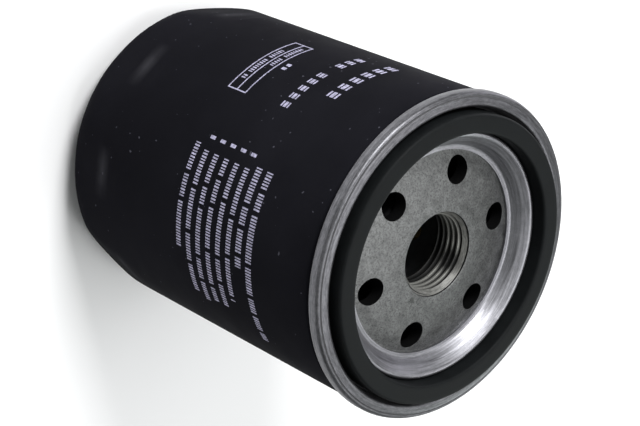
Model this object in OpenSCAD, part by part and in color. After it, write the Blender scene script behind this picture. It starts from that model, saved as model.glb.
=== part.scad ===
// Spin-on oil filter for a small engine, standing on its closed end.
// The open end, with the thread and the sealing gasket, faces +Z.
// The origin is the centre of the surface that it stands on. Sizes are in millimetres.

/* [Can] */
// Outer radius of the can's straight wall
can_r = 37.15; // [35.6:0.05:46]
// Height of the seam's top edge over the surface that the filter stands on
rim_z = 97.3; // [80:0.1:140]
// Thickness of the can's sheet steel
can_t = 0.6; // [0.4:0.05:0.8]
// Outer radius of the corner between the can's wall and its closed end
base_corner_r = 11; // [8:0.5:13]
// Outer radius of the shallow recess in the closed end
base_recess_r = 20.5; // [14:0.5:23]
// Depth of that recess
base_recess_h = 1.5; // [0.8:0.1:3]

/* [Wrench flats] */
// Number of flats round the closed end
flat_count = 8; // [6:1:15]
// Turn of the first flat's middle from +X, in degrees
flat_turn = -4.4; // [-22.5:0.1:22.5]
// Height at which the flats run out into the round wall
flat_top_z = 22; // [18:0.5:30]
// Depth of each flat under the round wall, at the height of the corner radius
flat_depth = 1.25; // [0.6:0.05:1.6]

/* [Double seam and seaming lid] */
// How far the seam stands out past the can's wall
seam_overhang = 0.85; // [0.5:0.05:1.5]
// Height of the seam's outer band
seam_h = 3; // [2.8:0.1:4]
// Gap between two folded layers, filled by sealant
seam_gap = 0.06; // [0.04:0.01:0.1]
// Thickness of the lid's sheet steel
lid_t = 0.55; // [0.4:0.05:0.7]
// How far the seam's inner edge rises over its outer edge
rim_crown = 0.45; // [0:0.05:0.8]
// Depth of the gasket channel's floor under the rim
channel_drop = 4.45; // [3.5:0.05:6]
// Depth of the lid's inner lip under the rim
lip_drop = 0.75; // [0.2:0.05:1.5]
// Width of the sloping wall between the lip and the lid's opening
recess_w = 5.1; // [3:0.1:7]

/* [Gasket] */
// Radius of the middle of the gasket
gasket_mid_r = 31.35; // [30:0.05:33]
// Width of the gasket's section
gasket_w = 4.5; // [3:0.1:5]
// How far the gasket stands over the rim
gasket_rise = 2.4; // [1:0.1:3.5]
// Radius of the gasket's rounded edges
gasket_edge_r = 0.6; // [0.45:0.05:1.2]
// Gap between the gasket and the channel's inner wall
gasket_gap = 0.15; // [0.05:0.05:0.5]

/* [Thread plate] */
// Thickness of the plate
plate_t = 3.2; // [2:0.1:4.5]
// Gap between the plate's edge and the can
plate_gap = 0.95; // [0.3:0.05:2]
// Depth of the thread's lip under the rim
thread_drop = 2.8; // [2:0.1:4]
// Radius of the threaded bore over the crests of its thread, a 3/4 inch 16 UNF nut thread
thread_r = 8.75; // [7:0.05:11]
// Width of the lead-in chamfer at the lip
thread_chamfer = 1.15; // [0.6:0.05:1.5]
// Length of the threaded collar from its lip to its inner end
collar_h = 9.7; // [8:0.1:14]
// Wall of the threaded collar round the crests
collar_wall = 3.55; // [2.5:0.05:4]
// Number of inlet holes
inlet_count = 6; // [4:1:8]
// Radius of each inlet hole
inlet_r = 3.25; // [2:0.05:3.8]
// Radius of the circle that the inlet holes lie on
inlet_ring_r = 19.3; // [18:0.1:19.6]

/* [Anti-drain valve] */
// Least wall of the valve's hub round the threaded collar
hub_wall = 1.2; // [1:0.05:2.5]
// Width of the hub's bearing on the element's open end, outside the tube's flange
hub_bearing = 2.2; // [1.5:0.1:4]
// Gap between the hub and the collar
hub_gap = 0.05; // [0.02:0.01:0.1]
// Thickness of the flexing web
web_t = 1.2; // [0.8:0.05:1.6]
// Radial width of the sealing lip
drain_lip_w = 2.8; // [2:0.1:4]
// Height of the sealing lip
drain_lip_h = 1.4; // [1:0.1:2]
// Radius of the sealing lip's outer edge
drain_lip_r = 29.6; // [27:0.1:33]
// Gap between the lip and the plate when the valve is shut
drain_gap = 0.05; // [0.02:0.01:0.1]
// How far the lip drops when oil flows in
drain_travel = 1.2; // [0.5:0.1:1.6]

/* [Filter element] */
// Distance from the collar's inner end to the element's open end
cap_drop = 1; // [0.5:0.1:3]
// Thickness of the sheet steel of the end caps
cap_t = 0.4; // [0.3:0.05:0.6]
// Outer radius of the end caps
cap_r = 32.3; // [30:0.1:34]
// Height of the end caps' outer skirts
cap_skirt_h = 3; // [2:0.1:5]
// Length of the open end cap's inner flange
cap_flange_h = 4.5; // [3:0.1:6]
// Thickness of the adhesive between an end cap and the media
adhesive_h = 2; // [1:0.1:3]
// Outer radius of the centre tube
tube_r = 13.5; // [13:0.1:16.5]
// Thickness of the centre tube's wall
tube_t = 0.4; // [0.3:0.05:0.6]
// Radius of the holes in the centre tube
tube_hole_r = 2.5; // [1.5:0.1:3]
// Holes in each row round the centre tube
tube_hole_count = 6; // [4:2:8]
// Distance between rows of holes, centre to centre
tube_row_step = 8; // [7:0.5:12]
// Number of pleats in the media
pleat_count = 48; // [36:1:50]
// Thickness of the media's paper
paper_t = 0.6; // [0.4:0.05:0.7]
// Gap between the centre tube and the pleats' inner folds
pleat_gap = 0.6; // [0.4:0.1:1.5]
// Gap between the pleats' outer folds and the end caps' skirts
skirt_gap = 1; // [0.8:0.1:3]
// Width of each fold between the middles of its two walls
fold_w = 0.95; // [0.8:0.05:1]
// Thickness of the clip's sheet steel
clip_t = 0.35; // [0.2:0.05:0.4]
// How far the clip reaches in over the joined pleat
clip_reach = 8.5; // [5:0.5:10]
// Gap between the clip and the paper
clip_gap = 0.06; // [0.04:0.01:0.1]

/* [Bypass valve] */
// Radius of the flow hole in the valve seat
seat_hole_r = 5.5; // [4:0.1:6]
// Thickness of the seat and cage's sheet steel
seat_t = 0.7; // [0.5:0.05:1]
// Height of the seat's raised lip
seat_lip_h = 0.8; // [0.5:0.05:1.2]
// Thickness of the rubber seal
bypass_seal_h = 1; // [0.6:0.1:1.5]
// Outer radius of the valve disc and its seal
bypass_disc_r = 8.2; // [7.5:0.1:8.6]
// Thickness of the valve disc
bypass_disc_t = 0.8; // [0.6:0.1:1.2]
// Radius of the disc's guide stem
stem_r = 2.2; // [1.5:0.05:2.6]
// Running gap between the stem and the cage
stem_gap = 0.05; // [0.02:0.01:0.1]
// Lift of the disc at full opening
bypass_lift = 3; // [2:0.1:4]
// Height of the cage over the seat
cage_h = 14; // [12:0.5:18]
// Radius of the cage's wall at the top
cage_r = 9.9; // [9.5:0.1:10.3]
// Radius of the coil spring's wire
wire_r = 0.45; // [0.3:0.05:0.6]
// Mean radius of the coil spring
coil_r = 5.2; // [4:0.1:6]
// Turns of the coil spring
coil_turns = 5; // [4:0.5:6]

/* [Element spring] */
// Height of the stamped spring between the can and the element
spring_h = 14; // [12:0.5:18]
// Thickness of the spring's steel
spring_t = 0.8; // [0.6:0.05:1.2]
// Number of arms
arm_count = 4; // [3:1:6]
// Width of each arm
arm_w = 9; // [6:0.5:11]
// Radius of the spring's ring, where it bears on the element
spring_ring_r = 15; // [14:0.5:18]
// Radius where the arms bear on the can
spring_foot_r = 23.6; // [23:0.1:25]

/* [Hidden] */
$fn = 96;
eps = 0.01;
corner_steps = 5;

// Seam layers, as the middle of each sheet, from the outside in
seam_r = can_r + seam_overhang;
outer_band_r = seam_r - lid_t / 2;
body_hook_r = seam_r - lid_t - seam_gap - can_t / 2;
cover_hook_r = body_hook_r - can_t / 2 - seam_gap - lid_t / 2;
neck_r = cover_hook_r - lid_t / 2 - seam_gap - can_t / 2;
chuck_r = neck_r - can_t / 2 - seam_gap - lid_t / 2;
hook_room = 0.35;
fold_r = 0.46 * (outer_band_r - cover_hook_r);
can_fold_z = rim_z - lid_t - seam_gap - can_t / 2;
body_hook_z = rim_z - seam_h + lid_t + hook_room;
cover_hook_z = can_fold_z - can_t / 2 - hook_room;
neck_h = 1.6;

// Lid
gasket_in_r = gasket_mid_r - gasket_w / 2;
gasket_out_r = gasket_mid_r + gasket_w / 2;
lip_mid_r = gasket_in_r - gasket_gap - lid_t / 2;
lid_open_r = lip_mid_r + lid_t / 2 - recess_w;
channel_z = rim_z - channel_drop;
lid_foot_w = 1.2;
chuck_slope = 0.6;

// Thread plate
plate_top_z = channel_z - lid_t;
plate_under_z = plate_top_z - plate_t;
plate_r = can_r - can_t - plate_gap;
thread_lip_z = rim_z - thread_drop;
dome_edge_r = lid_open_r - 0.4;
dome_shoulder_r = lid_open_r - 3.1;
dome_rise = thread_lip_z - plate_top_z;
collar_r = thread_r + collar_wall;
collar_end_z = thread_lip_z - collar_h;
bore_chamfer = 0.6;

// Anti-drain valve
tube_gap = 0.1;
cap_hole_r = tube_r - tube_t - tube_gap - cap_t;
hub_r = max(collar_r + hub_gap + hub_wall, cap_hole_r + cap_t + hub_bearing);
hub_top_z = plate_under_z + 0.8;
drain_lip_z = plate_under_z - drain_gap;
web_root_r = hub_r + drain_gap;
web_tip_r = drain_lip_r - drain_lip_w;

// Filter element, from its open end down
element_top_z = collar_end_z - cap_drop;
element_base_z = can_t + spring_h;
media_top_z = element_top_z - cap_t - adhesive_h;
media_base_z = element_base_z + cap_t + adhesive_h;
cap_fold_r = 0.7;
flange_fold_r = cap_t / 2 + tube_gap;
tube_base_z = element_base_z + cap_t;
tube_top_z = element_top_z - cap_t;
tube_rows = floor((tube_top_z - tube_base_z - cage_h - 4 * tube_hole_r) / tube_row_step);
pleat_in_r = tube_r + pleat_gap + paper_t / 2;
pleat_out_r = cap_r - cap_t - skirt_gap - paper_t / 2;
clip_out_r = pleat_out_r + paper_t / 2 + clip_gap;
clip_in_r = max(clip_out_r - clip_reach, (pleat_in_r + pleat_out_r) / 2);
fold_half_in = asin(fold_w / 2 / pleat_in_r);
wall_in_x = pleat_in_r * sin(180 / pleat_count - fold_half_in);
wall_share = (clip_in_r - pleat_in_r) / (pleat_out_r - pleat_in_r);
wall_clip_x = wall_in_x + (fold_w / 2 - wall_in_x) * wall_share;
clip_half_w = max(fold_w / 2, wall_clip_x) + paper_t / 2 + clip_gap;

// Bypass valve, from the closed end cap up
seat_out_r = tube_r - tube_t - 0.3;
seat_top_z = tube_base_z + seat_t;
seat_lip_r = seat_hole_r + 0.8;
seal_z = seat_top_z + seat_lip_h + stem_gap;
disc_z = seal_z + bypass_seal_h;
disc_top_z = disc_z + bypass_disc_t;
cage_top_z = seat_top_z + cage_h;
cage_leg_w = 5;
stem_top_z = cage_top_z + 1.2;
coil_base_z = disc_top_z + wire_r + stem_gap;
coil_top_z = cage_top_z - seat_t - wire_r - stem_gap;
coil_steps = 24;
wire_sides = 8;

function unit(v) = v / norm(v);
function left_of(v) = [-v[1], v[0]];
function xy(p) = [p[0], p[1]];

// Points that round the corner b between its neighbours; b's third number is the radius
function corner(before, b, after) =
    let (u = unit(xy(before) - xy(b)))
    let (v = unit(xy(after) - xy(b)))
    let (half = acos(u * v) / 2)
    let (centre = xy(b) + unit(u + v) * b[2] / sin(half))
    let (from = xy(b) + u * b[2] / tan(half) - centre)
    let (to = xy(b) + v * b[2] / tan(half) - centre)
    let (a0 = atan2(from[1], from[0]))
    let (turn = atan2(to[1], to[0]) - a0)
    let (sweep = turn > 180 ? turn - 360 : (turn < -180 ? turn + 360 : turn))
    [for (i = [0:corner_steps])
        let (a = a0 + sweep * i / corner_steps)
        centre + b[2] * [cos(a), sin(a)]];

// A loop or path of [x, y] and [x, y, radius] points with its corners rounded
function rounded(path) =
    let (n = len(path))
    [for (i = [0:n - 1])
        each len(path[i]) < 3
            ? [xy(path[i])]
            : corner(path[(i + n - 1) % n], path[i], path[(i + 1) % n])];

// One side of a sheet, at distance d to the left of its middle line
function side(points, d, closed = false) =
    let (n = len(points))
    [for (i = [0:n - 1])
        let (has_before = closed || i > 0)
        let (has_after = closed || i < n - 1)
        let (before = unit(has_before ? points[i] - points[(i + n - 1) % n] : points[1] - points[0]))
        let (after = has_after ? unit(points[(i + 1) % n] - points[i]) : before)
        let (normal = left_of(unit(before + after)))
        points[i] + normal * d / (normal * left_of(before))];

function reversed(points) = [for (i = [len(points) - 1:-1:0]) points[i]];

// The section of a bent sheet of thickness t
module sheet(path, t) {
    points = rounded(path);
    polygon(concat(side(points, t / 2), reversed(side(points, -t / 2))));
}

// A ring with a plain rectangular section
module ring(r_in, r_out, z, h) {
    translate([0, 0, z])
        difference() {
            cylinder(r = r_out, h = h);
            translate([0, 0, -eps])
                cylinder(r = r_in, h = h + 2 * eps);
        }
}

// The can's sheet, from the middle of the closed end to the end of its hook
function can_path() = [
    [0, base_recess_h + can_t / 2],
    [base_recess_r - 2.2, base_recess_h + can_t / 2, 1.5],
    [base_recess_r, can_t / 2, 1.5],
    [can_r - can_t / 2, can_t / 2, base_corner_r - can_t / 2],
    [can_r - can_t / 2, rim_z - seam_h - neck_h, 1],
    [neck_r, rim_z - seam_h, 1],
    [neck_r, can_fold_z, fold_r],
    [body_hook_r, can_fold_z, fold_r],
    [body_hook_r, body_hook_z]
];

// A block whose inner face is a wrench flat, moved in by depth
module flat_block(depth, thick) {
    run = flat_top_z - base_corner_r;
    tilt = atan(flat_depth / run);
    translate([can_r - depth / cos(tilt), 0, flat_top_z])
        rotate([0, tilt, 0])
            translate([0, -can_r / 2, -2 * flat_top_z])
                cube([thick, can_r, 2 * flat_top_z + 2]);
}

module each_flat() {
    for (i = [0:flat_count - 1])
        rotate([0, 0, flat_turn + i * 360 / flat_count])
            children();
}

// Drawn steel can with a recessed base, wrench flats, a neck and the seam's body hook
module can() {
    color("#1d1c22") {
        difference() {
            rotate_extrude()
                sheet(can_path(), can_t);
            each_flat()
                flat_block(0, can_r);
        }
        intersection() {
            each_flat()
                flat_block(can_t, can_t);
            rotate_extrude()
                polygon(rounded([
                    [can_r / 2, can_t / 2],
                    [can_r - can_t / 2, can_t / 2, base_corner_r - can_t / 2],
                    [can_r - can_t / 2, flat_top_z + 1],
                    [can_r / 2, flat_top_z + 1]
                ]));
        }
    }
}

// Pressed lid: seam, gasket channel, inner lip and the foot on the thread plate
module seaming_lid() {
    channel_mid_z = channel_z - lid_t / 2;
    color("#9a9b9e")
        rotate_extrude()
            sheet([
                [cover_hook_r, cover_hook_z],
                [cover_hook_r, rim_z - seam_h + lid_t / 2, fold_r],
                [outer_band_r, rim_z - seam_h + lid_t / 2, fold_r],
                [outer_band_r, rim_z - lid_t / 2, 0.5],
                [chuck_r, rim_z + rim_crown - lid_t / 2, 0.55],
                [chuck_r - chuck_slope, channel_mid_z, 0.8],
                [lip_mid_r, channel_mid_z, 0.7],
                [lip_mid_r, rim_z - lip_drop + 0.35, 0.6],
                [lid_open_r + 2.5, channel_mid_z + 2.2, 2],
                [lid_open_r + lid_foot_w, channel_mid_z, 0.8],
                [lid_open_r, channel_mid_z]
            ], lid_t);
}

// Sealing compound between the end of the cover hook and the body hook's fold
module seam_sealant() {
    color("#4c6a52")
        ring(cover_hook_r - lid_t / 2, cover_hook_r + lid_t / 2, cover_hook_z + eps, hook_room - 0.15);
}

// Domed steel plate with the threaded collar and the ring of inlet holes
module thread_plate() {
    shoulder_z = plate_top_z + 0.42 * dome_rise;
    color("#6f7072")
        difference() {
            rotate_extrude()
                polygon(rounded([
                    [thread_r, collar_end_z + bore_chamfer],
                    [thread_r + bore_chamfer, collar_end_z],
                    [collar_r, collar_end_z, 0.5],
                    [collar_r, thread_lip_z - plate_t - 0.3, 0.7],
                    [dome_shoulder_r, shoulder_z - plate_t, 6],
                    [dome_edge_r, plate_under_z, 1.5],
                    [plate_r, plate_under_z, 0.6],
                    [plate_r, plate_top_z, 0.6],
                    [dome_edge_r, plate_top_z, 1.5],
                    [dome_shoulder_r, shoulder_z, 6],
                    [thread_r + thread_chamfer + 1.6, thread_lip_z - 0.1, 2],
                    [thread_r + thread_chamfer, thread_lip_z],
                    [thread_r, thread_lip_z - thread_chamfer]
                ]));
            for (i = [0:inlet_count - 1])
                rotate([0, 0, i * 360 / inlet_count])
                    translate([inlet_ring_r, 0, plate_under_z - 1])
                        cylinder(r = inlet_r, h = plate_t + dome_rise + 2);
        }
}

// Moulded rubber ring with rounded edges
module sealing_gasket() {
    top_z = rim_z + gasket_rise;
    color("#232426")
        rotate_extrude()
            polygon(rounded([
                [gasket_in_r, channel_z, gasket_edge_r],
                [gasket_out_r, channel_z, gasket_edge_r],
                [gasket_out_r, top_z, gasket_edge_r],
                [gasket_in_r, top_z, gasket_edge_r]
            ]));
}

// Rubber hub gripped between the collar and the element
module drain_valve_hub() {
    color("#17181a")
        ring(collar_r + hub_gap, hub_r, element_top_z, hub_top_z - element_top_z);
}

// Thin rubber cone that lets the lip give way
module drain_valve_web() {
    root_z = element_top_z + web_t / 2 + 0.35;
    tip_z = drain_lip_z - drain_lip_h + web_t / 2;
    color("#17181a")
        rotate_extrude()
            polygon([
                [web_root_r, root_z - web_t / 2],
                [web_tip_r, tip_z - web_t / 2],
                [web_tip_r, tip_z + web_t / 2],
                [web_root_r, root_z + web_t / 2]
            ]);
}

// Rubber lip that shuts the inlet holes off from the can
module drain_valve_lip() {
    color("#17181a")
        rotate_extrude()
            polygon(rounded([
                [web_tip_r, drain_lip_z - drain_lip_h],
                [drain_lip_r, drain_lip_z - drain_lip_h, 0.5],
                [drain_lip_r, drain_lip_z, 0.3],
                [web_tip_r, drain_lip_z]
            ]));
}

// Pressed cap with an outer skirt and a flange that centres the tube
module open_end_cap() {
    mid_z = element_top_z - cap_t / 2;
    color("#8d9094")
        rotate_extrude()
            sheet([
                [cap_hole_r + cap_t / 2, element_top_z - cap_flange_h],
                [cap_hole_r + cap_t / 2, mid_z, flange_fold_r],
                [cap_r - cap_t / 2, mid_z, cap_fold_r],
                [cap_r - cap_t / 2, element_top_z - cap_skirt_h]
            ], cap_t);
}

module adhesive_disc(z) {
    color("#c9b98a")
        ring(tube_r + tube_gap, cap_r - cap_t - 2 * cap_fold_r, z, adhesive_h);
}

module open_end_adhesive() {
    adhesive_disc(media_top_z);
}

module closed_end_adhesive() {
    adhesive_disc(element_base_z + cap_t);
}

// Middle line of the folded paper: an inner and an outer fold for each pleat
function pleat_points() =
    let (step = 360 / pleat_count)
    let (half_out = asin(fold_w / 2 / pleat_out_r))
    [for (i = [0:pleat_count - 1])
        let (a = i * step)
        each [
            pleat_in_r * [cos(a + step / 2 - fold_half_in), sin(a + step / 2 - fold_half_in)],
            pleat_in_r * [cos(a + step / 2 + fold_half_in), sin(a + step / 2 + fold_half_in)],
            pleat_out_r * [cos(a + step - half_out), sin(a + step - half_out)],
            pleat_out_r * [cos(a + step + half_out), sin(a + step + half_out)]
        ]];

// Resin-treated paper folded into a closed ring of pleats
module pleated_media() {
    points = pleat_points();
    color("#c8a25a")
        translate([0, 0, media_base_z])
            linear_extrude(height = media_top_z - media_base_z)
                difference() {
                    polygon(side(points, -paper_t / 2, true));
                    polygon(side(points, paper_t / 2, true));
                }
}

// Steel channel crimped over the pleat where the paper's two ends meet
module media_clip() {
    color("#a3a6aa")
        translate([0, 0, media_base_z])
            linear_extrude(height = media_top_z - media_base_z)
                difference() {
                    translate([clip_in_r, -clip_half_w - clip_t])
                        square([clip_out_r + clip_t - clip_in_r, 2 * (clip_half_w + clip_t)]);
                    translate([clip_in_r - 1, -clip_half_w])
                        square([clip_out_r + 1 - clip_in_r, 2 * clip_half_w]);
                }
}

// Perforated steel tube that carries the media
module centre_tube() {
    rows_z = tube_base_z + cage_h + 2 * tube_hole_r;
    color("#9b9ea2")
        difference() {
            ring(tube_r - tube_t, tube_r, tube_base_z, tube_top_z - tube_base_z);
            for (row = [0:tube_rows])
                for (i = [0:tube_hole_count / 2 - 1])
                    translate([0, 0, rows_z + row * tube_row_step])
                        rotate([0, 90, (i + (row % 2) / 2) * 360 / tube_hole_count])
                            translate([0, 0, -tube_r - 1])
                                cylinder(r = tube_hole_r, h = 2 * tube_r + 2);
        }
}

// Pressed cap that closes the element's lower end, with a hole for the bypass
module closed_end_cap() {
    mid_z = element_base_z + cap_t / 2;
    color("#8d9094")
        rotate_extrude()
            sheet([
                [seat_hole_r + 1.5, mid_z],
                [cap_r - cap_t / 2, mid_z, cap_fold_r],
                [cap_r - cap_t / 2, element_base_z + cap_skirt_h]
            ], cap_t);
}

// Pressed seat with a raised lip round its flow hole
module bypass_seat() {
    color("#b0b2b5") {
        ring(seat_hole_r, seat_out_r, tube_base_z, seat_t);
        ring(seat_hole_r, seat_lip_r, seat_top_z - eps, seat_lip_h + eps);
    }
}

// Rubber washer under the disc
module bypass_seal() {
    color("#202123")
        ring(stem_r, bypass_disc_r, seal_z, bypass_seal_h);
}

// Disc with the stem that guides it in the cage and holds the seal
module bypass_disc() {
    color("#b9bbbe")
        rotate_extrude()
            polygon([
                [0, seal_z],
                [stem_r, seal_z],
                [stem_r, disc_z],
                [bypass_disc_r, disc_z],
                [bypass_disc_r, disc_top_z],
                [stem_r, disc_top_z],
                [stem_r, stem_top_z - 0.5],
                [stem_r - 0.5, stem_top_z],
                [0, stem_top_z]
            ]);
}

// Coil spring that holds the disc shut: one wire swept along a helix
module bypass_spring() {
    rings = coil_turns * coil_steps;
    rise = coil_top_z - coil_base_z;
    points = [for (i = [0:rings])
        let (a = i * 360 / coil_steps)
        for (j = [0:wire_sides - 1])
            let (b = j * 360 / wire_sides)
            let (r = coil_r + wire_r * cos(b))
            [r * cos(a), r * sin(a), coil_base_z + rise * i / rings + wire_r * sin(b)]];
    sides = [for (i = [0:rings - 1])
        for (j = [0:wire_sides - 1])
            let (k = (j + 1) % wire_sides)
            [i * wire_sides + j, i * wire_sides + k, (i + 1) * wire_sides + k, (i + 1) * wire_sides + j]];
    first_end = [for (j = [wire_sides - 1:-1:0]) j];
    last_end = [for (j = [0:wire_sides - 1]) rings * wire_sides + j];
    color("#c4c6c9")
        polyhedron(points, concat(sides, [first_end, last_end]), convexity = 8);
}

// A wedge between two legs of the cage, with its sides along the legs
module cage_window() {
    apex = cage_leg_w / 2 / sin(60);
    reach = 2 * tube_r;
    margin = 2.3 * seat_t;
    translate([0, 0, seat_top_z + margin])
        linear_extrude(height = cage_h - 2 * margin)
            polygon([
                [apex, 0],
                [apex + reach * cos(60), -reach * sin(60)],
                [apex + reach * cos(60), reach * sin(60)]
            ]);
}

// Pressed cage with three legs, which holds the spring and guides the stem
module bypass_cage() {
    flange_z = seat_top_z + seat_t / 2;
    top_z = cage_top_z - seat_t / 2;
    color("#a9abae")
        difference() {
            rotate_extrude()
                sheet([
                    [seat_out_r, flange_z],
                    [cage_r + 0.6, flange_z, 0.8],
                    [cage_r, top_z, 1.5],
                    [stem_r + stem_gap, top_z]
                ], seat_t);
            for (i = [0:2])
                rotate([0, 0, i * 120])
                    cage_window();
        }
}

// Stamped spring with a bearing ring and bent arms, under the element
module element_spring() {
    top_z = element_base_z - spring_t / 2;
    foot_z = can_t + spring_t / 2;
    color("#7d7f83")
        intersection() {
            rotate_extrude()
                sheet([
                    [spring_ring_r - 4, top_z],
                    [spring_ring_r, top_z, 2.5],
                    [spring_foot_r, foot_z, 1.2],
                    [spring_foot_r + 2.2, foot_z]
                ], spring_t);
            union() {
                cylinder(r = spring_ring_r, h = element_base_z + 1);
                for (i = [0:arm_count - 1])
                    rotate([0, 0, i * 360 / arm_count])
                        translate([0, -arm_w / 2, 0])
                            cube([can_r, arm_w, element_base_z + 1]);
            }
        }
}

can();
seaming_lid();
seam_sealant();
thread_plate();
sealing_gasket();
drain_valve_hub();
drain_valve_web();
drain_valve_lip();
open_end_cap();
open_end_adhesive();
pleated_media();
media_clip();
centre_tube();
closed_end_adhesive();
closed_end_cap();
bypass_seat();
bypass_seal();
bypass_disc();
bypass_spring();
bypass_cage();
element_spring();
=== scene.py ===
"""A spin-on oil filter on its closed end: painted can, seamed lid, gasket and engine thread."""

import math

import bmesh
import bpy
from mathutils import Matrix, Vector


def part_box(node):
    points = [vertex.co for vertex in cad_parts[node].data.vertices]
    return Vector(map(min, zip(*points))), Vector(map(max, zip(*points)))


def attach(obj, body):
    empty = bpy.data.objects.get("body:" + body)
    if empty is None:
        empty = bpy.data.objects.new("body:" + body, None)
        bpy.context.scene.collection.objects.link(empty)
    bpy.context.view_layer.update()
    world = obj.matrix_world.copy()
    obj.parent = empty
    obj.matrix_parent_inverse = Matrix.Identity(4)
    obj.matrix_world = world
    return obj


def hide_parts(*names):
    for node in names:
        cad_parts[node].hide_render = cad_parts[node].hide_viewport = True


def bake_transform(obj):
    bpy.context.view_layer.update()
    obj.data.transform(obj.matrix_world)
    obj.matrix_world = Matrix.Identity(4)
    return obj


bl_info = {
    "name": "Oil filter",
    "version": (1, 0, 0),
    "blender": (4, 5, 0),
    "location": "View3D > Sidebar > Oil filter",
    "description": "Builds the looks of a spin-on oil filter round its fixed frame",
    "category": "Object",
}

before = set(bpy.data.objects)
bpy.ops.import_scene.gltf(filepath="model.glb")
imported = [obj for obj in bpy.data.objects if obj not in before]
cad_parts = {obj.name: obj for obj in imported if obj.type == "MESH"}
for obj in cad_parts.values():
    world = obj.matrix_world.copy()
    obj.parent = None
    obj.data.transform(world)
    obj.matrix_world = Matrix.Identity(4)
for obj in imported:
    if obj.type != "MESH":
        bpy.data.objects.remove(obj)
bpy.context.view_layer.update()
MM = 0.001
FULL_TURN = 2 * math.pi
# Points nearer than this are one point
TOUCH = 1e-7
# Points nearer than this are merged after a spin
MERGE = 1e-6
# Gap between the gasket and the lid's inner lip
LIP_GAP = 0.15 * MM
# How far the sloping wall of the recess runs in from the inner lip
RECESS_RUN = 5.1 * MM

# Places read from the frame
LID_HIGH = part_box("seaming_lid")[1]
GASKET_LOW, GASKET_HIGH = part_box("sealing_gasket")
PLATE_LOW, PLATE_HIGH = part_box("thread_plate")
HUB_LOW, HUB_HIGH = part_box("drain_valve_hub")
WEB_LOW, WEB_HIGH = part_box("drain_valve_web")
DRAIN_LOW, DRAIN_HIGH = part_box("drain_valve_lip")
COIL_LOW, COIL_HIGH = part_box("bypass_spring")


# ---------------------------------------------------------------- sizes and finishes


def linear(hex_colour):
    """The linear colour of an sRGB hex value."""
    channels = [int(hex_colour[i:i + 2], 16) / 255 for i in (1, 3, 5)]
    return [c / 12.92 if c <= 0.04045 else ((c + 0.055) / 1.055) ** 2.4 for c in channels]


def length_prop(name, description, default):
    return bpy.props.FloatProperty(
        name=name, description=description, default=default,
        unit="LENGTH", subtype="DISTANCE", precision=5)


def colour_prop(name, description, hex_colour):
    return bpy.props.FloatVectorProperty(
        name=name, description=description, default=linear(hex_colour),
        subtype="COLOR", size=3, min=0, max=1)


def count_prop(name, description, default, low, high):
    return bpy.props.IntProperty(
        name=name, description=description, default=default, min=low, max=high)


class FilterSizes(bpy.types.PropertyGroup):
    """Sizes of the pieces that are modelled here."""

    can_r: length_prop("Can radius", "Outer radius of the can's straight wall", 37.15 * MM)
    can_wall: length_prop("Can wall", "Thickness of the can's sheet", 0.6 * MM)
    corner_r: length_prop("Corner radius", "Radius between the wall and the closed end", 11 * MM)
    recess_r: length_prop("Recess radius", "Outer radius of the recess in the closed end", 20.5 * MM)
    recess_h: length_prop("Recess depth", "Depth of the recess in the closed end", 1.5 * MM)
    flat_top: length_prop("Flat height", "Height at which the wrench flats run out", 22 * MM)
    flat_depth: length_prop("Flat depth", "Depth of a flat at the corner radius", 1.25 * MM)
    flat_turn: bpy.props.FloatProperty(
        name="Flat turn", description="Turn of the first wrench flat's middle from +X",
        default=math.radians(-4.4), unit="ROTATION", subtype="ANGLE")
    flat_count: count_prop("Flats", "Number of wrench flats", 8, 6, 15)
    neck_in: length_prop("Neck", "How far the wall is drawn in under the seam", 1.33 * MM)
    seam_h: length_prop("Seam height", "Height of the seam's outer band", 3 * MM)
    lid_wall: length_prop("Lid wall", "Thickness of the lid's sheet", 0.55 * MM)
    rim_crown: length_prop("Rim crown", "Rise of the seam's inner edge over its outer edge", 0.45 * MM)
    gasket_w: length_prop("Gasket width", "Width of the gasket's section", 4.5 * MM)
    plate_wall: length_prop("Plate thickness", "Thickness of the thread plate", 3.2 * MM)
    inlet_r: length_prop("Inlet radius", "Radius of an inlet hole", 3.25 * MM)
    inlet_ring_r: length_prop("Inlet ring", "Radius of the circle of the inlet holes", 19.3 * MM)
    inlet_count: count_prop("Inlets", "Number of inlet holes", 6, 4, 8)
    thread_r: length_prop("Thread crests", "Radius of the thread over its crests", 8.75 * MM)
    lead_in: length_prop("Lead-in", "Depth of the countersink over the thread", 1.75 * MM)
    lead_in_w: length_prop("Lead-in width", "How far the countersink widens the thread's mouth", 1.15 * MM)
    thread_pitch: length_prop("Thread pitch", "Distance between turns, 16 to the inch", 25.4 / 16 * MM)
    wire_r: length_prop("Wire radius", "Radius of the bypass spring's wire", 0.45 * MM)
    coil_turns: count_prop("Coil turns", "Turns of the bypass spring", 5, 3, 9)
    ink_h: length_prop("Ink thickness", "Thickness of the printed ink", 0.03 * MM)


class FilterFinishes(bpy.types.PropertyGroup):
    """Colours of the finishes."""

    enamel: colour_prop("Enamel", "Black stoving enamel of the can", "#151519")
    ink: colour_prop("Ink", "Pale screen-printed ink", "#9f9cb6")
    tinplate: colour_prop("Tinplate", "Tin-plated steel of the lid", "#909095")
    plate: colour_prop("Plate steel", "Bare pressed steel of the thread plate", "#696a6a")
    rubber: colour_prop("Gasket rubber", "Black nitrile rubber of the gasket", "#0f1112")
    paper: colour_prop("Filter paper", "Resin-treated paper of the element", "#a08a5a")
    plastisol: colour_prop("Plastisol", "Adhesive of the end caps", "#c9b98a")
    floor: colour_prop("Floor", "Plain pale floor", "#f4f4f5")


def sizes():
    """The sizes that the user may change."""
    return bpy.context.scene.oil_filter_sizes


def finishes():
    """The colours that the user may change."""
    return bpy.context.scene.oil_filter_finishes


# ---------------------------------------------------------------- modelling by hand


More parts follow.
